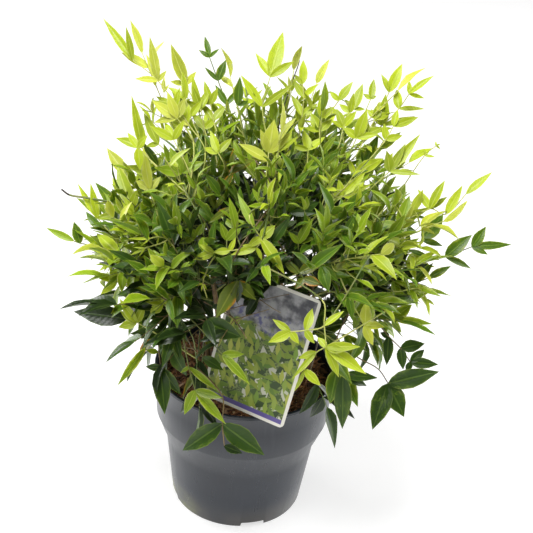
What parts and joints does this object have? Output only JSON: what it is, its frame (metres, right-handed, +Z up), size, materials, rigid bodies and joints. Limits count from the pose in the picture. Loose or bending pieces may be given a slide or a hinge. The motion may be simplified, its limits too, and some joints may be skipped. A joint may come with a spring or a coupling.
{
  "type": "potted heavenly bamboo shrub",
  "caption": "Leafy evergreen shrub with upright canes and airy sprays of pointed leaflets, growing in a round plastic nursery pot with bark mulch and a picture card.",
  "frame": {"origin": "centre of the pot's flat underside, where the pot stands", "axes": "+Z up, -Y towards the plant's front, where the picture card leans on the rim, +X to the right seen from the front"},
  "size_m": [0.4292, 0.3677, 0.4663],
  "materials": {
    "pot_plastic": "satin moulded plastic, dark blue-grey",
    "bark_mulch": "rough shredded bark, moist",
    "label_card": "printed plastic card with a pale edge",
    "cane_bark": "finely furrowed brown cane",
    "leaf_lime": "young lime-yellow leaf, satin",
    "leaf_fresh": "mid-green leaf, satin",
    "leaf_dark": "old dark green leaf, glossy"
  },
  "bodies": {
    "root": {"pot": "pot_plastic", "potting_mix": "bark_mulch", "picture_label": "label_card", "cane_1": "cane_bark", "cane_2": "cane_bark", "cane_3": "cane_bark", "cane_4": "cane_bark", "cane_5": "cane_bark", "cane_6": "cane_bark", "cane_7": "cane_bark", "cane_8": "cane_bark", "cane_9": "cane_bark", "spray_crest_1": "leaf_lime", "spray_crest_2": "leaf_lime", "spray_top_1": "leaf_lime", "spray_top_2": "leaf_lime", "spray_top_3": "leaf_lime", "spray_top_4": "leaf_lime", "spray_top_5": "leaf_lime", "spray_top_6": "leaf_lime", "spray_top_7": "leaf_lime", "spray_upper_1": "leaf_lime", "spray_upper_2": "leaf_lime", "spray_upper_3": "leaf_lime", "spray_upper_4": "leaf_lime", "spray_upper_5": "leaf_lime", "spray_upper_6": "leaf_lime", "spray_upper_7": "leaf_lime", "spray_upper_8": "leaf_lime", "spray_upper_9": "leaf_lime", "spray_middle_1": "leaf_fresh", "spray_middle_2": "leaf_fresh", "spray_middle_3": "leaf_fresh", "spray_middle_4": "leaf_fresh", "spray_middle_5": "leaf_fresh", "spray_middle_6": "leaf_fresh", "spray_middle_7": "leaf_fresh", "spray_middle_8": "leaf_fresh", "spray_middle_9": "leaf_fresh", "spray_low_1": "leaf_dark", "spray_low_2": "leaf_dark", "spray_low_3": "leaf_dark", "spray_low_4": "leaf_dark", "spray_low_5": "leaf_dark", "spray_low_6": "leaf_dark", "spray_low_7": "leaf_dark", "spray_low_8": "leaf_dark", "spray_inner_1": "leaf_fresh", "spray_inner_2": "leaf_fresh", "spray_inner_3": "leaf_fresh", "spray_core_1": "leaf_dark", "spray_core_2": "leaf_dark", "spray_core_3": "leaf_dark", "spray_core_4": "leaf_dark", "spray_core_5": "leaf_dark", "spray_core_6": "leaf_dark", "spray_core_7": "leaf_dark", "spray_trailing_1": "leaf_dark", "spray_trailing_2": "leaf_dark"}
  },
  "joints": []
}
